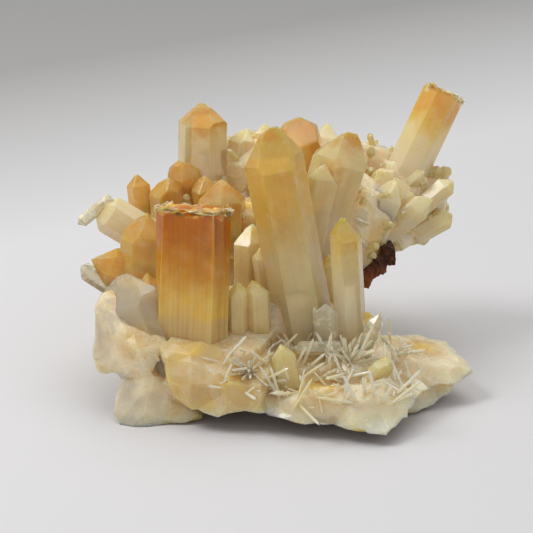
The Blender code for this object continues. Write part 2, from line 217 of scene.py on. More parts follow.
def slice_off(point, normal):
    """In edit mode, cuts the whole mesh by a plane, drops what lies beyond and closes the cut."""
    select_everything()
    bpy.ops.mesh.bisect(
        plane_co=point, plane_no=normal, use_fill=True, clear_outer=True, threshold=ON_PLANE
    )


def cut_off(item, point, normal):
    """Cuts an object by a plane and drops what lies beyond."""
    edit(item)
    slice_off(point, normal)
    to_mode("OBJECT")


def join(items, name):
    """Joins objects into one with this name."""
    pick(*items)
    bpy.ops.object.join()
    made = bpy.context.view_layer.objects.active
    made.name = name
    made.data.name = name
    return made


def copy_of(item, name):
    """A copy of an object with its own mesh."""
    made = item.copy()
    made.data = item.data.copy()
    made.name = name
    bpy.context.scene.collection.objects.link(made)
    return made


# Crystals

def outward(face, roll):
    """The way that a prism face looks. Face 0 looks to the front."""
    turn = math.radians(roll) - math.pi / 2 + face * FACE_TURN
    return Vector((math.cos(turn), math.sin(turn), 0))


def upright_to(way):
    """The turn from upright to a way."""
    return Vector((0, 0, 1)).rotation_difference(way)


def remember_growth(item, length):
    """Keeps each point's place in its crystal: across, across, and down from the tip, in metres.

    It is kept on the face corners, because a union carries only those over its cuts.
    """
    growth = item.data.attributes.new("growth", "FLOAT_VECTOR", "CORNER")
    for value, loop in zip(growth.data, item.data.loops):
        corner = item.data.vertices[loop.vertex_index]
        value.vector = (corner.co.x, corner.co.y, length - corner.co.z)


def grow_together(mass, items):
    """Unites crystals with the mass in one closed skin. Each face keeps its material."""
    group = bpy.data.collections.new("growing_together")
    bpy.context.scene.collection.children.link(group)
    for item in items:
        group.objects.link(item)
    apply_modifier(
        mass, "BOOLEAN", operation="UNION", operand_type="COLLECTION", collection=group,
        solver="EXACT", material_mode="TRANSFER",
    )
    for item in items:
        bpy.data.objects.remove(item)
    bpy.data.collections.remove(group)
    bpy.context.view_layer.update()


def mend(item, largest_hole=12):
    """Takes out doubled, empty and loose faces and closes holes of up to this many edges."""
    item.data.validate()
    edit(item)
    select_everything()
    bpy.ops.mesh.dissolve_degenerate(threshold=NO_LENGTH)
    bpy.ops.mesh.fill_holes(sides=largest_hole)
    bpy.ops.mesh.delete_loose()
    to_mode("OBJECT")
    item.data.validate()


def roughen(item, material, depth, passes):
    """Breaks up the faces of one material down to a depth below its crystal's end, in millimetres.

    passes are (cuts, offset in millimetres), from the coarse to the fine.
    """
    index = item.data.materials.find(material)
    edit(item)
    bpy.ops.mesh.select_mode(type="FACE")
    for cuts, offset in passes:
        bpy.ops.mesh.select_all(action="DESELECT")
        to_mode("OBJECT")
        down = [value.vector.z for value in item.data.attributes["growth"].data]
        for face in item.data.polygons:
            face.select = face.material_index == index and all(
                down[loop] < depth * MM for loop in face.loop_indices
            )
        to_mode("EDIT")
        bpy.ops.mesh.quads_convert_to_tris()
        bpy.ops.mesh.subdivide(number_cuts=cuts)
        bpy.ops.transform.vertex_random(
            offset=offset * MM, uniform=0.7, normal=0, seed=ROUGH_SEED
        )
    to_mode("OBJECT")


def chip(item, level, count, chance, depths=(0.15, 0.45)):
    """In edit mode, knocks flat chips, so many millimetres deep, off corners above a level."""
    for _ in range(count):
        to_mode("OBJECT")
        corners = [corner.co.copy() for corner in item.data.vertices]
        to_mode("EDIT")
        corner = chance.choice([corner for corner in corners if corner.z > level])
        across = Vector((corner.x, corner.y, 0)).normalized()
        stray = Vector([chance.uniform(-0.5, 0.5) for _ in range(3)])
        normal = (across + stray + Vector((0, 0, chance.uniform(0.3, 1.4)))).normalized()
        furthest = max(corners, key=normal.dot)
        slice_off(furthest - normal * chance.uniform(*depths) * MM, normal)


def crystal(name, base, tip, width, roll=0, sides=EVEN, drops=None, tilt=END_TILT,
            broken=False, slant=0, wear=0.12, chips=0, frayed=0, seed=0):
    """One quartz crystal, cut from a six-sided prism, from a base inside the mass to its tip.

    sides are how far the six prism faces stand from the axis, as shares of the full distance,
    drops how far below the tip the six end faces meet the axis, and tilt how steep they are. A
    broken end falls to the back by slant, as a share of the way. wear is the width of the dulled
    edges, chips how many chips are off the top, and frayed how far below the end a ring is cut, so
    that the end can be roughened. All lengths are in millimetres.
    """
    chance = random.Random(seed)
    base = Vector(base) * MM
    tip = Vector(tip) * MM
    width = width * MM
    length = (tip - base).length
    reach = width / 2 * math.cos(FACE_TURN / 2)
    pick()
    bpy.ops.mesh.primitive_cylinder_add(
        vertices=FACES, radius=width / 2 * max(sides), depth=length + width,
        location=(0, 0, (length + width) / 2), rotation=(0, 0, math.radians(roll) + FACE_TURN / 2),
    )
    item = bpy.context.object
    item.name = name
    settle(item)
    edit(item)
    for face in range(FACES):
        if sides[face] < max(sides):
            slice_off(outward(face, roll) * reach * sides[face], outward(face, roll))
    front = -reach * min(sides)
    end = Vector((0, slant, 1)).normalized()
    if broken:
        slice_off((0, front, length), end)
    else:
        if drops is None:
            drops = [chance.uniform(0, STAGGER) * width / MM for _ in range(FACES)]
        for face in range(FACES):
            normal = outward(face, roll) * math.cos(tilt) + Vector((0, 0, math.sin(tilt)))
            slice_off((0, 0, length - drops[face] * MM), normal)
    if chips:
        chip(item, length - width * 0.9, chips, chance)
    select_everything()
    bpy.ops.mesh.dissolve_limited(angle_limit=math.radians(0.2))
    if wear:
        select_everything()
        bpy.ops.mesh.bevel(offset=wear * MM, segments=1, affect="EDGES", clamp_overlap=True)
    if frayed:
        select_everything()
        ring = (0, front, length - frayed * MM)
        bpy.ops.mesh.bisect(plane_co=ring, plane_no=end, threshold=ON_PLANE)
    select_everything()
    bpy.ops.mesh.normals_make_consistent(inside=False)
    to_mode("OBJECT")
    if not broken:
        top = max(corner.co.z for corner in item.data.vertices)
        for corner in item.data.vertices:
            corner.co.z += length - top
    remember_growth(item, length)
    item.rotation_mode = "QUATERNION"
    item.rotation_quaternion = upright_to(tip - base)
    item.location = base
    settle(item)
    return item


# The milky mass

def crag(centre, half, seed, planes=22, keep=0.72, under=None):
    """A lump of milky quartz: flat breaks all round an egg shape. under cuts off its underside."""
    chance = random.Random(seed)
    pick()
    bpy.ops.mesh.primitive_cube_add(size=2)
    item = bpy.context.object
    edit(item)
    for _ in range(planes):
        normal = Vector([chance.gauss(0, 1) for _ in range(3)]).normalized()
        slice_off(normal * chance.uniform(keep, 1.0), normal)
    to_mode("OBJECT")
    item.scale = Vector(half) * MM
    item.location = Vector(centre) * MM
    settle(item)
    if under:
        cut_off(item, under[0] * MM, under[1])
    return item


def chunk(corners, under=None):
    """A lump with flat faces between named corners. under cuts it off below."""
    pick()
    bpy.ops.mesh.primitive_circle_add(vertices=len(corners), radius=MM, fill_type="NOTHING")
    item = bpy.context.object
    for corner, place in zip(item.data.vertices, corners):
        corner.co = Vector(place) * MM
    edit(item)
    select_everything()
    bpy.ops.mesh.convex_hull()
    if under:
        slice_off(under[0] * MM, under[1])
    to_mode("OBJECT")
    return item


def rear_lumps():
    """The high back of the cluster, which overhangs at its right."""
    under = (OVERHANG_POINT, OVERHANG_NORMAL)
    near = (
        (20, 4, 20), (28, 11, 21), (22.5, 6, 32), (29.5, 12, 36), (33, 16, 34), (35, 20, 24),
        (24, 12, 44), (18, 26, 44), (16, 26, 18), (14, 6, 30), (34, 26, 40),
    )
    far = (
        (34, 20, 24), (39.5, 26, 26), (43.5, 29, 29), (46, 32, 34.5), (45, 33, 42), (38, 24, 41),
        (33, 18, 38), (30, 26, 48), (26, 36, 46), (24, 34, 22), (38, 38, 30), (43, 38, 38),
        (32, 17, 30),
    )
    return [
        crag((-5, 20, 22), (31, 20, 24), seed=3, planes=34, under=under),
        crag((14, 24, 34), (20, 16, 16), seed=5, under=under),
        crag((-20, 22, 32), (17, 16, 12), seed=12),
        crag((22, 34, 44), (13, 7, 9), seed=14, under=under),
        crag((-5, 30, 46), (12, 8, 9), seed=15),
        chunk(near, (CRUST_LOW, CRUST_NORMAL)),
        chunk(far, under),
        crag((-7, 3, 6), (25, 22, 12), seed=21),
        crag((-3, -4, 17), (20, 14, 9), seed=22),
    ]


def front_lumps():
    """The low front: block and stub under the broken crystal, and the plate at their right."""
    block = (
        (-26, -27, 19), (-26.5, -29, 17.5), (-25.5, -33, 11), (-24, -34, 7), (-20, -35, 5.5),
        (-13.5, -37, 3.5), (-12, -36.5, 5), (-12, -34, 13), (-4, -26, 17), (-24, -22, 20),
        (0, -14, 3), (-24, -14, 4), (-20, -10, 21), (4, -10, 20), (-20, -31, 14),
    )
    stub = (
        (-12.2, -36.8, 4.8), (-3.2, -38, 5.4), (-12.2, -35.4, 12.4), (-3.4, -36, 12.2),
        (-9, -28, 16), (0, -28, 14), (-9, -12, 6), (3, -12, 6), (-8, -12, 16), (3, -12, 14),
    )
    plate = (
        (-2.6, -36, 6.2), (-2.5, -38, 4.8), (3.5, -39, 4.6), (9.5, -40.5, 3.6), (20, -43, 3.6),
        (37.5, -27, 7), (-3, -33, 8), (7, -32, 8.4), (29, -19, 12.6), (0, -24, 13),
        (16, -22, 13.4), (0, -14, 3), (30, -16, 4), (20, -8, 14), (2, -8, 16),
    )
    lip = (
        (1.2, -36.2, 8.6), (9.3, -36.6, 8.9), (16.4, -33.5, 11.6), (23.4, -34, 10.4),
        (27.5, -31, 11.6), (35, -29, 7.2), (33, -33.5, 5.6), (3.5, -38.8, 4.8), (20, -42.8, 3.8),
        (25, -44.6, 2.5), (26.5, -43.5, 3.5), (20, -26, 8), (6, -34, 5), (30, -26, 5),
    )
    mound = (
        (12, -28.5, 11), (15, -29.5, 12), (20, -29.5, 12.2), (23, -27.5, 12), (21.5, -22, 14.2),
        (14.5, -22, 14.4), (10.5, -24, 13.5), (17, -27, 14), (10, -20, 8), (24, -20, 8),
        (16, -30, 8),
    )
    lobe = (
        (30, -8, 13), (36.5, -5, 12.5), (43, -5, 10.5), (44.5, -8, 9.5), (47, -13, 8),
        (49.5, -17, 7.5), (48, -19, 6), (46, -20, 5.5), (38, -18, 11), (30, -22, 12), (36, -6, 5),
        (24, -5, 6), (22, -20, 4), (20, -12, 15), (40, -24, 6), (42, -12, 3.5),
    )
    lobe_foot = (
        (43, -20, 5), (44, -20, 3.5), (39.5, -23, 1.5), (37.5, -24, 0.8), (30, -29, 1),
        (28, -22, 1.5), (30, -12, 6), (40, -12, 6), (36, -22, 7), (28, -26, 7),
    )
    return [chunk(corners) for corners in (block, stub, plate, lip, mound, lobe, lobe_foot)]


def left_lumps():
    """The pale lump at the left and the grey one below it."""
    lump = (
        (-42, -16, 27), (-42.5, -20, 23), (-44, -20, 14), (-43.5, -20, 9), (-41.5, -22, 8.5),
        (-35.5, -27, 10.5), (-32.5, -30, 18), (-30, -29, 12), (-38, -8, 26), (-26, -8, 24),
        (-40, -6, 18), (-38, -6, 9), (-24, -8, 8), (-26, -27, 18),
    )
    grey = (
        (-37.5, -25, 9), (-38, -27, 6), (-38.2, -30, 2), (-37, -32, 0), (-34, -33.5, -0.6),
        (-29, -33, -0.5), (-21.5, -32, 0.8), (-18, -31, 1.5), (-25.5, -29, 9.5), (-30, -29, 11.5),
        (-36, -12, 10), (-16, -12, -1), (-34, -10, -1), (-22, -8, 10),
    )
    return [chunk(lump), chunk(grey)]


def relief(name, kind, size):
    """A procedural texture that a Displace modifier reads in world places."""
    made = bpy.data.textures.new(name, kind)
    made.noise_scale = size
    return made


def displace(item, texture, strength, mid_level=0.5):
    """Moves an object's skin in and out by a texture."""
    apply_modifier(
        item, "DISPLACE", texture=texture, texture_coords="GLOBAL", strength=strength,
        mid_level=mid_level,
    )


def weathered(item, grain, relief_steps, facets):
    """Rebuilds overlapping lumps as one skin with relief, and flattens it into small facets.

    facets is the share of the faces that is kept.
    """
    apply_modifier(item, "REMESH", mode="VOXEL", voxel_size=grain, use_smooth_shade=False)
    for texture, strength in relief_steps:
        displace(item, texture, strength)
    apply_modifier(item, "DECIMATE", decimate_type="COLLAPSE", ratio=facets)


def remember_stains_and_shade(item):
    """Keeps how stained the mass is, from STAINS, and its painted shade, from how far it looks down.
    """
    amounts = []
    for corner in item.data.vertices:
        amount = NO_STAIN
        for centre, radius, strength in STAINS:
            near = 1 - (corner.co / MM - Vector(centre)).length / radius
            if near > 0:
                amount += (strength - amount) * min(1, near * STAIN_EDGE)
        # Low faces that look down get painted shade: the brown at the top of the ramp stands for
        # shade under the mass
        if corner.normal.z < -UNDER_FROM and corner.co.z < UNDER_TOP * MM:
            amount = max(amount, (-corner.normal.z - UNDER_FROM) * UNDER_RISE)
        amounts.append(amount)
    stain = item.data.attributes.new("stain", "FLOAT", "CORNER")
    for value, loop in zip(stain.data, item.data.loops):
        value.value = amounts[loop.vertex_index]


def sprout(master, name, root, way, width, length, chance):
    """A copy of a small crystal that grows from a root, turned about its own axis by chance."""
    made = copy_of(master, name)
    turn = upright_to(way).to_matrix().to_4x4()
    roll = Matrix.Rotation(chance.uniform(0, math.tau), 4, "Z")
    size = Matrix.Diagonal((width, width, length / MASTER_LENGTH, 1))
    made.matrix_world = Matrix.Translation(root) @ turn @ roll @ size
    return made


def covering(name, mass, masters, low, high, share, length, width, way, spread, sunk, seed,
             facing=None):
    """Small crystals on the skin of the mass inside a box, as a row of RAYS or DRUSE says."""
    chance = random.Random(seed)
    low = Vector(low) * MM
    high = Vector(high) * MM
    places = [
        (face.center.copy(), face.normal.copy(), face.area) for face in mass.data.polygons
        if face.material_index == 0
        and all(low[axis] < face.center[axis] < high[axis] for axis in range(3))
        and (facing is None or face.normal.dot(Vector(facing).normalized()) > FACING_ENOUGH)
    ]
    count = sizes().druse_count // share
    chosen = chance.choices(places, [area for _, _, area in places], k=count)
    items = []
    for point, normal, _ in chosen:
        stray = Vector([chance.gauss(0, spread) for _ in range(3)])
        direction = (normal + Vector(way) + stray).normalized()
        size = chance.uniform(0, 1) ** 1.5
        long = length[0] + (length[1] - length[0]) * size
        wide = width[0] + (width[1] - width[0]) * min(1, max(0, size + chance.uniform(-0.25, 0.25)))
        root = point - direction * long * sunk * MM
        items.append(sprout(chance.choice(masters), name, root, direction, wide, long, chance))
        settle(items[-1])
    return items


# Materials

class Shader:
    """A material's node tree, with short ways to add and link its nodes."""

    def __init__(self, name):
        self.material = bpy.data.materials.new(name)
        self.material.use_nodes = True
        self.tree = self.material.node_tree
        self.surface = self.tree.nodes["Principled BSDF"]
        self.places = self.node("TexCoord").outputs["Object"]

    def node(self, kind, sockets=(), **values):
        """Adds a shader node with these values. sockets maps its inputs to what they get."""
        made = self.tree.nodes.new(f"ShaderNode{kind}")
        for key, value in values.items():
            setattr(made, key, value)
        for key, value in dict(sockets).items():
            self.feed(value, made.inputs[key])
        return made

    def feed(self, value, socket):
        """Links a socket, or sets a number, vector or colour."""
        if isinstance(value, bpy.types.NodeSocket):
            self.tree.links.new(value, socket)
        elif socket.type == "RGBA":
            socket.default_value = (*value, 1)
        else:
            socket.default_value = value

    def noise(self, scale, detail, rough=0.55, distortion=0, source=None):
        """A noise texture's factor over the object's places or another vector."""
        sockets = {
            "Scale": scale, "Detail": detail, "Roughness": rough, "Distortion": distortion,
            "Vector": source or self.places,
        }
        return self.node("TexNoise", sockets).outputs["Fac"]

    def stretched(self, source, size):
        """A vector scaled on each axis."""
        return self.node("Mapping", {"Scale": size, "Vector": source}).outputs["Vector"]

    def height(self, source):
        """The Z of a vector."""
        return self.node("SeparateXYZ", {0: source}).outputs["Z"]

    def ramp(self, factor, stops):
        """Colours or greys along a factor. stops are (place, colour)."""
        made = self.node("ValToRGB")
        elements = made.color_ramp.elements
        while len(elements) < len(stops):
            elements.new(0.5)
        for element, (place, colour) in zip(elements, stops):
            element.position = place
            element.color = (*colour, 1)
        self.feed(factor, made.inputs["Fac"])
        return made.outputs["Color"]

    def span(self, value, low, high, to_low=0.0, to_high=1.0):
        """Maps a value from one span to another."""
        sockets = {
            "From Min": low, "From Max": high, "To Min": to_low, "To Max": to_high, "Value": value,
        }
        return self.node("MapRange", sockets).outputs["Result"]

    def stray(self, scale, detail, reach):
        """A distance that strays by chance from -reach to reach, in metres."""
        return self.span(self.noise(scale, detail), 0.3, 0.7, -reach, reach)

    def mix(self, factor, first, second, blend="MIX"):
        """Mixes two colours, each a socket or a tuple, by a factor, a socket or a number."""
        sockets = {0: factor, 6: first, 7: second}
        return self.node("Mix", sockets, data_type="RGBA", blend_type=blend).outputs[2]

    def sum(self, first, second, operation="ADD"):
        """Combines two numbers."""
        return self.node("Math", {0: first, 1: second}, operation=operation).outputs[0]

    def bump(self, height, distance, strength, under=None):
        """Raises the shading by a height, over another bump if there is one."""
        sockets = {"Distance": distance, "Strength": strength, "Height": height}
        if under:
            sockets["Normal"] = under
        return self.node("Bump", sockets).outputs["Normal"]

    def near(self, place, radius, strength, ragged):
        """A factor that falls from strength at a place to 0 at a radius, both in millimetres."""
        sockets = {0: self.places, 1: Vector(place) * MM}
        away = self.node("VectorMath", sockets, operation="DISTANCE").outputs["Value"]
        return self.span(self.sum(away, ragged), 0, radius * MM, strength, 0)

    def quartz(self, milky, spread, deep, **values):
        """Sets a quartz surface: how milky it is, and how far light spreads in it, in metres."""
        return self.finish(
            IOR=IOR_QUARTZ, Subsurface_Weight=milky, Subsurface_Radius=spread,
            Subsurface_Scale=deep, **values,
        )

    def finish(self, **values):
        """Sets the surface's inputs by name."""
        for key, value in values.items():
            self.feed(value, self.surface.inputs[key.replace("_", " ")])
        return self.material


def crystal_material(name, stops, clear=0.5, rough=0.15, streaks=0.25, veils=0.35, gloss=0.4,
                     spots=()):
    """Quartz whose colour runs down each crystal from its tip.

    stops are (millimetres from the tip, colour), clear is how see-through it is, streaks how
    strong the fine lines along it are, veils how strong its milky clouds are, and spots are
    (place, radius in millimetres, colour, strength).
    """
    make = Shader(name)
    growth = make.node("Attribute", attribute_name="growth").outputs["Vector"]
    down = make.height(growth)
    length = stops[-1][0]
    share = make.span(make.sum(down, make.stray(190, 5, 0.003)), 0, length * MM)
    body = make.ramp(share, [(place / length, tint(colour)) for place, colour in stops])
    lines = make.noise(1.0, 3, source=make.stretched(growth, (1100, 1100, 40)))
    darker = make.mix(1.0, body, (0.8, 0.66, 0.45), "MULTIPLY")
    body = make.mix(make.span(lines, 0.42, 0.68, 0, streaks), body, darker)
    fog = make.noise(150, 3, 0.5, 0.6)
    body = make.mix(make.span(fog, 0.5, 0.72, 0, veils), body, tint("cream"))
    wisps = make.noise(380, 6, 0.65, 1.0)
    body = make.mix(make.span(wisps, 0.52, 0.7, 0, veils * 0.8), body, tint("frost"))
    ragged = make.stray(400, 4, 0.0015)
    for place, radius, colour, strength in spots:
        body = make.mix(make.near(place, radius, strength, ragged), body, tint(colour))
    steps = make.noise(1.0, 2, source=make.stretched(growth, (150, 150, 1900)))
    pits = make.noise(2600, 3)
    normal = make.bump(pits, 0.00004, 0.35, make.bump(steps, 0.00008, 0.5))
    dull = make.span(make.noise(500, 4), 0.35, 0.7, rough * 0.7, rough * 1.8)
    worn_end = make.span(down, 0.0006, 0.0016, 0.15, 0)
    return make.quartz(
        0.9, (1.0, 0.75, 0.42), 6 * MM, Base_Color=body, Roughness=make.sum(dull, worn_end),
        Normal=normal, Transmission_Weight=clear, Specular_IOR_Level=gloss,
    )


def mass_material():
    """The milky mass: pale, glassy, yellow where iron has stained it, with painted shade brown below.
    """
    make = Shader("milky_quartz")
    stain = make.node("Attribute", attribute_name="stain").outputs["Fac"]
    cloud = make.span(make.noise(120, 6, 0.6, 0.8), 0.35, 0.7, -0.15, 0.2)
    # The ramp runs from smoky through milk to yellow and brown; faces that look down climb it to
    # umber as painted shade
    body = make.ramp(make.sum(stain, cloud), [
        (0, tint("smoke")), (0.2, tint("milk")), (0.5, tint("tan")), (0.7, tint("honey")),
        (0.85, tint("amber")), (1, tint("umber")),
    ])
    fog = make.noise(160, 4, 0.6)
    body = make.mix(make.span(fog, 0.5, 0.75, 0, 0.4), body, tint("frost"))
    specks = make.span(make.noise(900, 2), 0.75, 0.8)
    body = make.mix(specks, body, tint("rust"))
    cells = make.node("TexVoronoi", {"Scale": 900, "Vector": make.places})
    sparkle = make.span(make.noise(90, 3), 0.5, 0.6, 0, 0.4)
    ragged = make.stray(300, 4, 0.002)
    for place, radius in SPARKLES:
        sparkle = make.sum(sparkle, make.near(place, radius, 2.5, ragged), "MAXIMUM")
    facets = make.sum(cells.outputs["Distance"], sparkle, "MULTIPLY")
    normal = make.bump(make.noise(300, 5, 0.6), 0.0002, 0.4)
    normal = make.bump(facets, 0.0004, 0.4, normal)
    dull = make.span(make.noise(260, 5), 0.35, 0.7, 0.12, 0.45)
    dull = make.sum(dull, make.span(sparkle, 0.6, 2, 0, -0.3))
    return make.quartz(
        1.0, (1.0, 0.8, 0.55), 6 * MM, Base_Color=body, Roughness=dull, Normal=normal,
        Transmission_Weight=0.2,
    )


def druse_material(name, base, clear):
    """Small crystals: glassy, milky inside, with a touch of the colour of what they grow on."""
    make = Shader(name)
    fog = make.span(make.noise(300, 5), 0.5, 0.75)
    body = make.mix(fog, tint(base), tint("frost"))
    warm = make.span(make.noise(70, 3), 0.5, 0.7, 0, 0.5)
    body = make.mix(warm, body, tint("honey"))
    normal = make.bump(make.noise(1500, 3), 0.00005, 0.5)
    dull = make.span(make.noise(800, 3), 0.35, 0.7, 0.08, 0.25)
    return make.quartz(
        0.8, (1.0, 0.85, 0.65), 2 * MM, Base_Color=body, Roughness=dull, Normal=normal,
        Transmission_Weight=clear,
    )


def clear_material(name, rough, clear):
    """Clear quartz of the needles and the small clear crystals, less clear in milky patches."""
    make = Shader(name)
    fog = make.span(make.noise(500, 5), 0.5, 0.68)
    normal = make.bump(make.noise(1800, 3), 0.00004, 0.4)
    dull = make.span(fog, 0, 1, rough, rough * 4)
    seen = make.span(fog, 0, 1, clear, clear * 0.4)
    return make.quartz(
        0.8, (1.0, 0.9, 0.75), 0.5 * MM, Base_Color=tint("clear"), Roughness=dull, Normal=normal,
        Transmission_Weight=seen,
    )


def rock_material():
    """The crust of host rock: dark brown with orange iron stains, dull and pitted."""
    make = Shader("iron_stained_rock")
    grain = make.noise(700, 8, 0.7)
    stops = (
        (0.3, paint(30, 16, 10)), (0.5, tint("rock")), (0.62, paint(120, 62, 26)),
        (0.75, paint(150, 92, 44)),
    )
    body = make.ramp(grain, stops)
    ragged = make.span(grain, 0.3, 0.7, -0.002, 0.002)
    low_end = make.span(make.sum(make.height(make.places), ragged), 0.0225, 0.0265, 0.75, 0)
    body = make.mix(low_end, body, paint(156, 84, 34))
    normal = make.bump(grain, 0.0006, 0.9)
    return make.finish(Base_Color=body, Roughness=0.85, Normal=normal)


# Finishing a piece

def dress(item, material, node=QUARTZ, angle=None):
    """Gives a piece its material and place on the body, and hides the CAD node it stands for."""
    item.data.materials.clear()
    item.data.materials.append(material)
    if angle is not None:
        pick(item)
        bpy.ops.object.shade_smooth_by_angle(angle=math.radians(angle))
    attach(item, "root")
    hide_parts(node)


# The tables. How deep the ends of these crystals are broken up, in millimetres, and the cuts and
# the offset of each pass
ROUGH_ENDS = {
    "broken_crystal": (3.6, ((4, 0.85), (1, 0.3))),
    "rear_right_crystal": (1.05, ((3, 0.5), (1, 0.2))),
    "tall_crystal": (1.85, ((3, 0.3), (1, 0.15))),
}
ROUGH_SEED = 4

# How stained the mass is: 0 is smoky, NO_STAIN plain milk, and more is yellow to brown from iron.
# Each row is a place, a radius in millimetres and how stained its middle is. STAIN_EDGE is how
# soon that is reached. Faces that look down by more than UNDER_FROM, below UNDER_TOP, get
# painted shade by how far they do, up the same ramp to the brown of umber.
NO_STAIN = 0.2
STAIN_EDGE = 1.6
UNDER_FROM = 0.6
UNDER_RISE = 4
UNDER_TOP = 16
STAINS = (
    ((-36, -28, 6), 22, 0), ((-42, -18, 20), 14, 0.05), ((-16, -32, 12), 20, 0.52),
    ((8, -22, 13), 16, 0.42), ((11, -32, 10), 8, 0.62), ((-4, -30, 13), 7, 0.5),
    ((36.5, -12, 11), 5, 0.7), ((-33, -25, 18), 6, 0.6), ((25, -33, 9), 1.6, 0.95),
    ((30, 8, 28), 12, 0.55), ((-5, 8, 38), 20, 0.5), ((12, 18, 47), 18, 0.45),
    ((-32, -5, 28), 14, 0.6), ((30, -20, 12), 8, 0.35),
)

# Freshly broken places of the mass that glint: place, radius in millimetres
SPARKLES = (((11, -37, 9), 6), ((24.5, -31, 13.5), 5), ((-2, -38, 9), 4), ((-24, -30, 6), 4))


def prism(base, tip, width, roll=0, seed=0, tilt=END_TILT, **more):
    """A row of the tables below: the shape that crystal() gets, without its name."""
    return dict(base=base, tip=tip, width=width, roll=roll, seed=seed, tilt=tilt, **more)


# The crystals that stand out: the shape, the colours down from the tip as (millimetres, colour),
# and what the finish has of its own. The panel's sizes take the place of the tall and the broken
# crystal's height and width.
MAIN = {
    "tall_crystal": (
        prism((9.4, -12, 6), (-1.7, -6, 66), 14.6, 6, 1, STEEP,
              drops=(3.2, 0, 0, 3.2, 1.4, 1.4), wear=0, chips=6, frayed=1.8),
        ((0, "mango"), (2.5, "honey"), (20, "honey"), (32, "cream"), (46, "cream"), (60, "milk")),
        dict(clear=0.48, rough=0.1, spots=(
            ((-9, -10, 56), 8, "amber", 0.5), ((2, -14, 44), 5, "umber", 0.16),
            ((5, -15, 20), 9, "milk", 0.6),
        )),
    ),
    "broken_crystal": (
        prism((-20.4, -21, 6), (-19.2, -18, 49.5), 18.8, -20, 4,
              sides=TABULAR, broken=True, slant=0.12, wear=0, frayed=1),
        ((0, "mango"), (0.7, "mango"), (1.4, "rust"), (7, "rust"), (14, "amber"), (24, "honey"),
         (30, "tan"), (48, "tan")),
        dict(clear=0.25, gloss=0.25, streaks=0.6, veils=0.1, spots=(
            ((-16.5, -27, 41), 2.4, "umber", 0.45), ((-23, -27, 44), 5, "rust", 0.4),
        )),
    ),
    "front_right_crystal": (
        prism((19.2, -14, 8), (16.7, -12, 45.5), 8, 14, 0, STEEP, drops=(1.4, 1.6, 1.6, 1.4, 0, 0)),
        ((0, "honey"), (6, "honey"), (10, "cream"), (20, "milk"), (34, "milk")),
        dict(clear=0.5, rough=0.1, streaks=0.1, spots=(((17.5, -16, 22), 5, "frost", 0.7),)),
    ),
    "centre_crystal": (
        prism((6.5, 5, 20), (18.4, 8, 61.2), 15.4, 22, 2,
              drops=(2, 0, 1, 3, 2, 1), wear=0.3, chips=6),
        ((0, "mango"), (2, "mango"), (5, "cream"), (18, "cream"), (30, "milk")),
        dict(spots=(((15, 2, 53), 3, "amber", 0.8), ((12, 2, 44), 6, "milk", 0.6))),
    ),
    "centre_ledge_crystal": (
        prism((4.5, 1, 22), (11.6, 2, 55.2), 12, 22, 0, FLAT, drops=(0, 1, 3, 4, 3, 0)),
        ((0, "cream"), (4, "cream"), (30, "milk")),
        {},
    ),
    "orange_crystal_behind": (
        prism((11, 21, 36), (4, 22, 60.2), 14, 26, 0, FLAT, drops=(2.5, 0, 0, 2.5, 1, 1), wear=0.3),
        ((0, "mango"), (5, "mango"), (20, "honey")),
        dict(spots=(((1, 15, 57), 4, "amber", 0.6),)),
    ),
    "rear_left_crystal": (
        prism((-19.2, 25, 30), (-18.4, 28, 63.3), 13, -12, 3, FLAT,
              drops=(1.6, 0, 1, 2, 1, 0.5), wear=0.3, chips=6),
        ((0, "mango"), (5, "mango"), (8, "cream"), (16, "milk"), (30, "milk")),
        dict(spots=(((-19, 21, 58), 2.5, "amber", 0.5),)),
    ),
    "rear_right_crystal": (
        prism((32.6, 28, 40), (44.9, 35, 64.5), 11.2, 0, 6, broken=True, wear=0, frayed=1),
        ((0, "cream"), (1.4, "mango"), (6, "mango"), (9, "honey"), (13, "cream"), (20, "milk"),
         (28, "milk")),
        dict(clear=0.35, streaks=0.05, veils=0.3),
    ),
}

# The smaller crystals
LEFT = (
    prism((-21.5, 22, 30), (-23.6, 18, 50.6), 9, 25, 61, FLAT, wear=0.5, chips=5),
    prism((-17, 17, 30), (-17.6, 15, 47.5), 8, 5, 62, FLAT, wear=0.5, chips=5),
    prism((-33.6, 15, 32), (-35, 16, 47.8), 6, 5, 31),
    prism((-27, 14, 32), (-27.8, 14, 47.4), 9, 15, 32, FLAT, wear=0.6),
    prism((-13.4, 7, 26), (-13.1, 8, 48.6), 12.6, 20, 33, FLAT, wear=0.7),
    prism((-26, -3, 24), (-45.2, -6, 32.5), 10, 30, 34),
    prism((-33, -8, 18), (-31.4, -4, 44), 12, 4, 35),
    prism((-30, -14, 20), (-30.8, -14, 32), 5.6, 10, 36),
)
SMOKY = (
    prism((-27, -22, 4), (-38.5, -13, 30.5), 19, -24, 0, FLAT,
          sides=(0.72, 1, 1, 0.72, 1, 1), drops=(5, 1, 0, 0, 0, 1), wear=0.4),
)
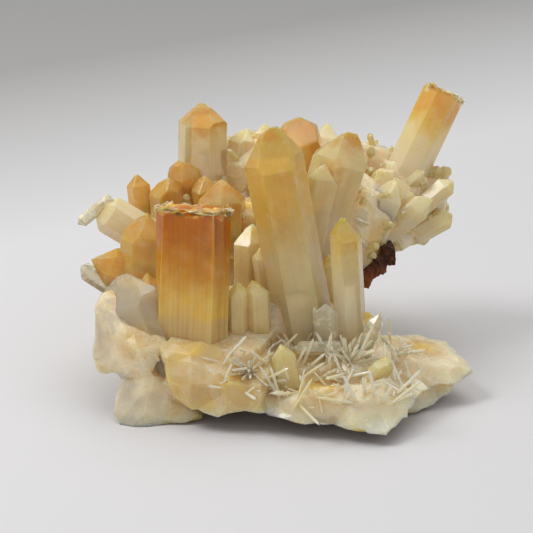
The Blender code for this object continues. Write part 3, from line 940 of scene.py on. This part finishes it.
PALE = (
    prism((-26, 4, 31), (-44.8, 4, 43.2), 10, 15, 38, FLAT),
    prism((-9, 28, 42), (-7.2, 30, 56), 8.5, 12, 51, FLAT),
    prism((-3, 28, 44), (-2.6, 31, 57), 7.5, 30, 52, FLAT),
    prism((34, 22, 30), (31, 20, 45.4), 8, 10, 53),
    prism((31, 26, 38), (26.5, 21, 46.8), 8.4, 20, 54, FLAT),
    prism((22.5, 13, 25), (31, 19, 45), 9.5, 12, 63, STEEP, wear=0.3),
    prism((27, 18, 30), (40.5, 17, 41), 7, 30, 64, STEEP),
    prism((36, 24, 34), (46.5, 24, 43.5), 6, 10, 65, FLAT),
    prism((36, 24, 28), (46.8, 25, 34), 6, 40, 66, FLAT),
    prism((42, 32, 34), (45.2, 34, 43.6), 5, 0, 55),
    prism((12, 32, 40), (14, 42, 54.5), 10, 8, 56),
    prism((-4, 30, 26), (-2, 44.6, 34), 12, 40, 57, FLAT),
    prism((-22, 26, 26), (-29, 40, 37), 10, 20, 58),
    prism((20, 30, 28), (25, 43, 33), 9, 50, 59),
    prism((-28, 8, 20), (-42, 14, 27), 9, 25, 60),
)
FRONT = (
    prism((-6, -4, 20), (-6.1, -2, 40.4), 8.8, 25, 41),
    prism((-0.5, -8, 14), (-3.4, -8, 37), 5.2, 0, 42),
    prism((-8.8, -20, 8), (-9.1, -18, 31.1), 5.6, 0, 43),
    prism((-3.6, -18, 8), (-4.8, -16, 30.9), 7.2, 20, 44, FLAT),
    prism((22.5, -13, 12), (22.6, -12, 21), 4.6, 0, 46, FLAT),
    prism((3.6, -31, 8), (1.4, -27.5, 19), 6, 10, 49, sides=TABULAR),
    prism((12.8, -5, 12), (13.6, -1, 32), 7, 15, 67),
    prism((20.5, -31, 7), (27, -28, 15.6), 6, 35, 50, sides=TABULAR),
)
CLEAR = (
    prism((-40.5, 5, 45), (-48.7, 0, 39.5), 3, 0, 39, FLAT),
    prism((-38, -3, 22), (-47.6, -8, 31), 5, 0, 40),
    prism((20, -21, 11), (25.2, -23, 25), 4.2, 12, 45, STEEP),
    prism((16, -21.5, 15.4), (4.6, -23, 16), 3.4, 30, 47, FLAT),
    prism((12.5, -18, 13), (12, -19, 26), 6, 0, 48, FLAT, sides=TABULAR),
)

# The groups that grow together with the mass: shapes, material, its colours and finish
GROUPS = {
    "left": (
        LEFT, "orange_tips", ((0, "mango"), (4, "mango"), (12, "honey"), (26, "cream")), {},
    ),
    "pale": (
        PALE, "pale_quartz", ((0, "cream"), (6, "milk"), (20, "milk")), dict(clear=0.3, veils=0.5),
    ),
    "smoky": (
        SMOKY, "smoky_quartz", ((0, "smoke"), (24, "smoke")),
        dict(streaks=0.1, veils=0.5, spots=(
            ((-31, -24, 19), 7, "honey", 0.7), ((-37, -20, 24), 7, "smoke", 0.8),
        )),
    ),
    "front": (
        FRONT, "yellow_quartz", ((0, "honey"), (3, "cream"), (18, "tan")), dict(clear=0.3),
    ),
}

# The single needles of the front: base and tip
NEEDLES = (
    ((24, 9, 36.6), (19.7, 6.5, 39.2)), ((23.8, 7.5, 30.6), (21.6, 5.5, 34)),
    ((10.2, -17.5, 14), (9.5, -19.5, 25.5)), ((30.5, -19.5, 12.5), (25.5, -21.5, 18.5)),
    ((29, -20.5, 13.5), (36.5, -22, 15)), ((17.2, -21, 12), (19.5, -23, 19)),
    ((18.5, -20, 13), (15.5, -21.5, 17.5)), ((8, -28.5, 9), (15, -30.5, 14)),
    ((18, -25, 11.5), (12.5, -26.5, 16.5)), ((9.5, -35.5, 6.5), (5.6, -36.5, 15)),
    ((-8, -22.5, 12.5), (-14, -24.5, 14.5)), ((-5.2, -23.5, 12), (-9.5, -25.5, 17.5)),
    ((-4.6, -14.5, 17), (-8.5, -16, 19)), ((-3.5, -25, 9), (-0.8, -27.5, 15.5)),
    ((-2, -29, 10), (3, -33.5, 12)), ((-7.4, -22, 12.5), (-11.5, -24, 18.5)),
    ((28.5, -15, 12), (27.5, -17, 21.5)), ((-27.5, -28, 15), (-29.5, -30.5, 18.5)),
)

# The stars of short needles: middle, way they point, how many, how long
STARS = (
    ((17.6, -26, 13.2), (0, -0.55, 0.85), 20, 8.5),
    ((-6, -31, 13.4), (-0.1, -0.75, 0.65), 18, 7),
)

# Where small crystals cover the mass: the low and the high corner of a box, share (one in so many
# of the panel's count stands there), the span of their length and of their width, the way that
# they lean to from the skin's own, how much they stray from it, the part of their length that is
# sunk in the mass, a seed, and for the rays where the skin that has them faces.
RAYS = (
    ((-1, -41, 7), (34, -15, 15), 2, (5, 13), (0.4, 0.9), (0, -0.2, 0.3), 0.8, 0.2, 2, (0, -0.2, 1)),
    ((-14, -37, 9), (2, -18, 18), 8, (4, 9), (0.4, 0.9), (0, -0.2, 0.2), 0.9, 0.2, 3, (0, -0.5, 1)),
)
DRUSE = (
    ((-30, 2, 26), (46, 50, 60), 6, (6, 11), (2.2, 4.5), (0.1, 0, 0.6), 0.35, 0.62, 1),
    ((-26, 6, 38), (46, 46, 60), 4, (3, 7), (0.9, 2.2), (0, 0, 0.7), 0.5, 0.4, 4),
    ((24, 6, 24), (50, 46, 44), 4, (6, 11), (1.6, 3.8), (0.6, -0.3, 0.4), 0.35, 0.62, 5),
    ((-30, 4, 12), (-14, 46, 34), 12, (4, 8), (2, 5), (-0.2, -0.2, 0.2), 0.4, 0.7, 6),
)
# The cosine from which skin counts as facing a way
FACING_ENOUGH = 0.1
# The small crystals that are copied are 1 mm wide and this long, in millimetres
MASTER_LENGTH = 4
MASTERS = 4

# The lights: place, size and power
LAMPS = {
    "window": ((-0.45, -0.05, 0.6), 0.28, 2.5),
    "ceiling": ((0.1, 0.3, 0.95), 0.7, 3.5),
    "fill": ((0.45, -0.3, 0.6), 0.5, 0.35),
}
LAMPS_LOOK_AT = Vector((0, 0, 0.03))
WORLD_LIGHT = 0.5

# The floor's paper is painted with shade, darker to the back and the left, from one distance to
# another in metres. The slope is how much a step to the right counts beside one to the back.
FLOOR_SIZE = 3
FLOOR_MIDDLE = (0, 0.4, 0)
PAPER_NEAR = (0.16, paint(208, 207, 208))
PAPER_FAR_SHADE = (0.42, paint(159, 158, 156))
SHADE_SLOPE = -0.8


def as_sized(name, shape):
    """A main crystal's shape, with the height and width that the panel holds if it has them."""
    held = sizes()
    panel = {
        "tall_crystal": (held.tall_height, held.tall_width),
        "broken_crystal": (held.broken_height, held.broken_width),
    }
    if name not in panel:
        return shape
    height, width = panel[name]
    x, y, _ = shape["tip"]
    return dict(shape, tip=(x, y, height / MM), width=width / MM)


class QUARTZ_OT_main_crystals(bpy.types.Operator):
    """Models the eight crystals that stand out, each with its own colours"""

    bl_idname = "quartz.main_crystals"
    bl_label = "Main Crystals"

    def execute(self, context):
        for name, (shape, stops, finish) in MAIN.items():
            item = crystal(f"growing_{name}", **as_sized(name, shape))
            item.data.materials.append(crystal_material(name, stops, **finish))
        return {"FINISHED"}


def group_of(shapes, name, material):
    """Models a table's crystals, all of one material."""
    items = [crystal(f"{name}_{number}", **shape) for number, shape in enumerate(shapes)]
    for item in items:
        item.data.materials.append(material)
    return items


class QUARTZ_OT_small_crystals(bpy.types.Operator):
    """Models the smaller crystals in groups: orange, pale, smoky, yellow and clear"""

    bl_idname = "quartz.small_crystals"
    bl_label = "Small Crystals"

    def execute(self, context):
        for group, (shapes, name, stops, finish) in GROUPS.items():
            group_of(shapes, f"growing_{group}", crystal_material(name, stops, **finish))
        glass = clear_material("clear_quartz", rough=0.06, clear=0.65)
        dress(join(group_of(CLEAR, "clear", glass), "clear_crystals"), glass, angle=SMOOTH)
        return {"FINISHED"}


class QUARTZ_OT_mass(bpy.types.Operator):
    """Models the milky mass that the crystals stand on"""

    bl_idname = "quartz.mass"
    bl_label = "Milky Mass"

    def execute(self, context):
        mass = join(rear_lumps() + front_lumps() + left_lumps(), "milky_mass")
        steps = [
            (relief("broken_faces", "VORONOI", 0.009), 0.0022),
            (relief("fine_breaks", "CLOUDS", 0.0025), 0.0006),
        ]
        weathered(mass, sizes().grain, steps, facets=0.08)
        cut_off(mass, (0, 0, 0), (0, 0, -1))
        remember_stains_and_shade(mass)
        mass.data.materials.append(mass_material())
        return {"FINISHED"}


class QUARTZ_OT_union(bpy.types.Operator):
    """Grows the crystals and the mass together into one piece"""

    bl_idname = "quartz.union"
    bl_label = "Grow Together"

    def execute(self, context):
        mass = bpy.data.objects["milky_mass"]
        items = [item for item in context.scene.objects if item.name.startswith("growing_")]
        if not items:
            raise RuntimeError("The crystals are made before they are grown together")
        grow_together(mass, items)
        mend(mass)
        for name, (depth, passes) in ROUGH_ENDS.items():
            roughen(mass, name, depth, passes)
        pick(mass)
        bpy.ops.object.shade_smooth_by_angle(angle=math.radians(SMOOTH))
        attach(mass, "root")
        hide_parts(QUARTZ)
        return {"FINISHED"}


class QUARTZ_OT_druse(bpy.types.Operator):
    """Covers the mass with small crystals, after the mass is made"""

    bl_idname = "quartz.druse"
    bl_label = "Druse"

    def execute(self, context):
        mass = bpy.data.objects["milky_mass"]
        masters = []
        for seed in range(1, MASTERS + 1):
            drops = [random.Random(seed * 9 + face).uniform(0, 0.3) for face in range(FACES)]
            masters.append(crystal(
                f"small_crystal_{seed}", (0, 0, 0), (0, 0, MASTER_LENGTH), 1.0, drops=drops, wear=0,
                seed=seed,
            ))
        for name, areas, material in (
            ("growing_ray", RAYS, druse_material("clear_druse", "frost", 0.2)),
            ("growing_druse", DRUSE, druse_material("yellow_druse", "cream", 0.4)),
        ):
            for area in areas:
                for item in covering(name, mass, masters, *area):
                    item.data.materials.append(material)
        for master in masters:
            bpy.data.objects.remove(master)
        bpy.context.view_layer.update()
        return {"FINISHED"}


class QUARTZ_OT_needles(bpy.types.Operator):
    """Models the clear needles of the front and their two stars"""

    bl_idname = "quartz.needles"
    bl_label = "Needles"

    def execute(self, context):
        width = sizes().needle_width / MM
        chance = random.Random(5)
        thin = dict(tilt=SHARP, wear=0)
        items = []
        for number, (base, tip) in enumerate(NEEDLES):
            thickness = width * chance.uniform(0.9, 1.3)
            items.append(crystal(f"needle_{number}", base, tip, thickness, **thin))
        for centre, way, count, length in STARS:
            for _ in range(count):
                spread = Vector([chance.gauss(0, 0.75) for _ in range(3)])
                direction = (Vector(way) + spread).normalized()
                start = Vector(centre) - direction
                end = Vector(centre) + direction * length * chance.uniform(0.5, 1.1)
                thickness = width * chance.uniform(0.5, 1.0)
                items.append(crystal("ray", start, end, thickness, **thin))
        material = clear_material("needle_quartz", rough=0.03, clear=0.5)
        dress(join(items, "needles"), material, angle=SMOOTH_NEEDLES)
        return {"FINISHED"}


class QUARTZ_OT_crust(bpy.types.Operator):
    """Roughens the crust of host rock under the overhang"""

    bl_idname = "quartz.crust"
    bl_label = "Host Rock Crust"

    def execute(self, context):
        crust = copy_of(frame["nodes"][ROCK], "rock_crust")
        edit(crust)
        select_everything()
        bpy.ops.mesh.remove_doubles(threshold=ON_PLANE)
        to_mode("OBJECT")
        apply_modifier(crust, "REMESH", mode="VOXEL", voxel_size=0.25 * MM)
        displace(crust, relief("rock_grain", "CLOUDS", 0.0012), 0.0008, mid_level=0.6)
        dress(crust, rock_material(), node=ROCK)
        return {"FINISHED"}


class QUARTZ_OT_stage(bpy.types.Operator):
    """Sets the pale floor, the soft lights and the camera"""

    bl_idname = "quartz.stage"
    bl_label = "Stage"

    def execute(self, context):
        pick()
        bpy.ops.mesh.primitive_plane_add(size=FLOOR_SIZE, location=FLOOR_MIDDLE)
        floor = bpy.context.object
        floor.name = "pale_floor"
        settle(floor)
        make = Shader("pale_paper")
        # The paper's colour gets painted shade, darker to the back and the left
        parts = make.node("SeparateXYZ", {0: make.places}).outputs
        away = make.sum(parts["Y"], make.sum(parts["X"], SHADE_SLOPE, "MULTIPLY"))
        (start, near), (end, far) = PAPER_NEAR, PAPER_FAR_SHADE
        shaded_paper = make.mix(make.span(away, start, end), near, far)
        floor.data.materials.append(make.finish(Base_Color=shaded_paper, Roughness=0.9))

        world = bpy.data.worlds.new("soft_light")
        context.scene.world = world
        world.use_nodes = True
        light = world.node_tree.nodes["Background"].inputs
        light["Color"].default_value = (1, 1, 1, 1)
        light["Strength"].default_value = WORLD_LIGHT
        for name, (place, size, power) in LAMPS.items():
            data = bpy.data.lights.new(name, "AREA")
            data.size = size
            data.energy = power
            self.aimed(name, data, Vector(place), LAMPS_LOOK_AT - Vector(place))

        data = bpy.data.cameras.new("camera")
        data.sensor_width = SENSOR
        data.lens = FOCAL_PIXELS / PHOTO_SIZE * SENSOR
        data.clip_start = 0.01
        back = Vector((0, -math.cos(CAMERA_RISE), math.sin(CAMERA_RISE)))
        place = (CAMERA_TARGET + back * CAMERA_DISTANCE) * MM
        context.scene.camera = self.aimed("camera", data, place, -back)
        context.scene.view_settings.view_transform = "Standard"
        return {"FINISHED"}

    def aimed(self, name, data, place, way):
        """A lamp or camera at a place that looks along a way."""
        item = bpy.data.objects.new(name, data)
        bpy.context.scene.collection.objects.link(item)
        item.location = place
        item.rotation_mode = "QUATERNION"
        item.rotation_quaternion = way.to_track_quat("-Z", "Y")
        return item


OPERATORS = (
    QUARTZ_OT_mass,
    QUARTZ_OT_druse,
    QUARTZ_OT_main_crystals,
    QUARTZ_OT_small_crystals,
    QUARTZ_OT_union,
    QUARTZ_OT_needles,
    QUARTZ_OT_crust,
    QUARTZ_OT_stage,
)


class QUARTZ_PT_panel(bpy.types.Panel):
    """Lists the sizes, the colours and the steps"""

    bl_idname = "QUARTZ_PT_panel"
    bl_label = "Mango Quartz Cluster"
    bl_space_type = "VIEW_3D"
    bl_region_type = "UI"
    bl_category = "Quartz"

    def draw(self, context):
        for group in (context.scene.cluster_sizes, context.scene.cluster_colours):
            box = self.layout.box()
            for name in group.bl_rna.properties.keys():
                if name not in ("rna_type", "name"):
                    box.prop(group, name)
        for operator in OPERATORS:
            self.layout.operator(operator.bl_idname)


CLASSES = (ClusterSizes, ClusterColours, *OPERATORS, QUARTZ_PT_panel)


def register():
    """Adds the classes and their settings to Blender."""
    for item in CLASSES:
        bpy.utils.register_class(item)
    bpy.types.Scene.cluster_sizes = PointerProperty(type=ClusterSizes)
    bpy.types.Scene.cluster_colours = PointerProperty(type=ClusterColours)


def unregister():
    """Takes the classes and their settings out again."""
    del bpy.types.Scene.cluster_colours
    del bpy.types.Scene.cluster_sizes
    for item in reversed(CLASSES):
        bpy.utils.unregister_class(item)


def main():
    register()
    for operator in OPERATORS:
        group, name = operator.bl_idname.split(".")
        getattr(getattr(bpy.ops, group), name)()


if __name__ == "__main__":
    main()
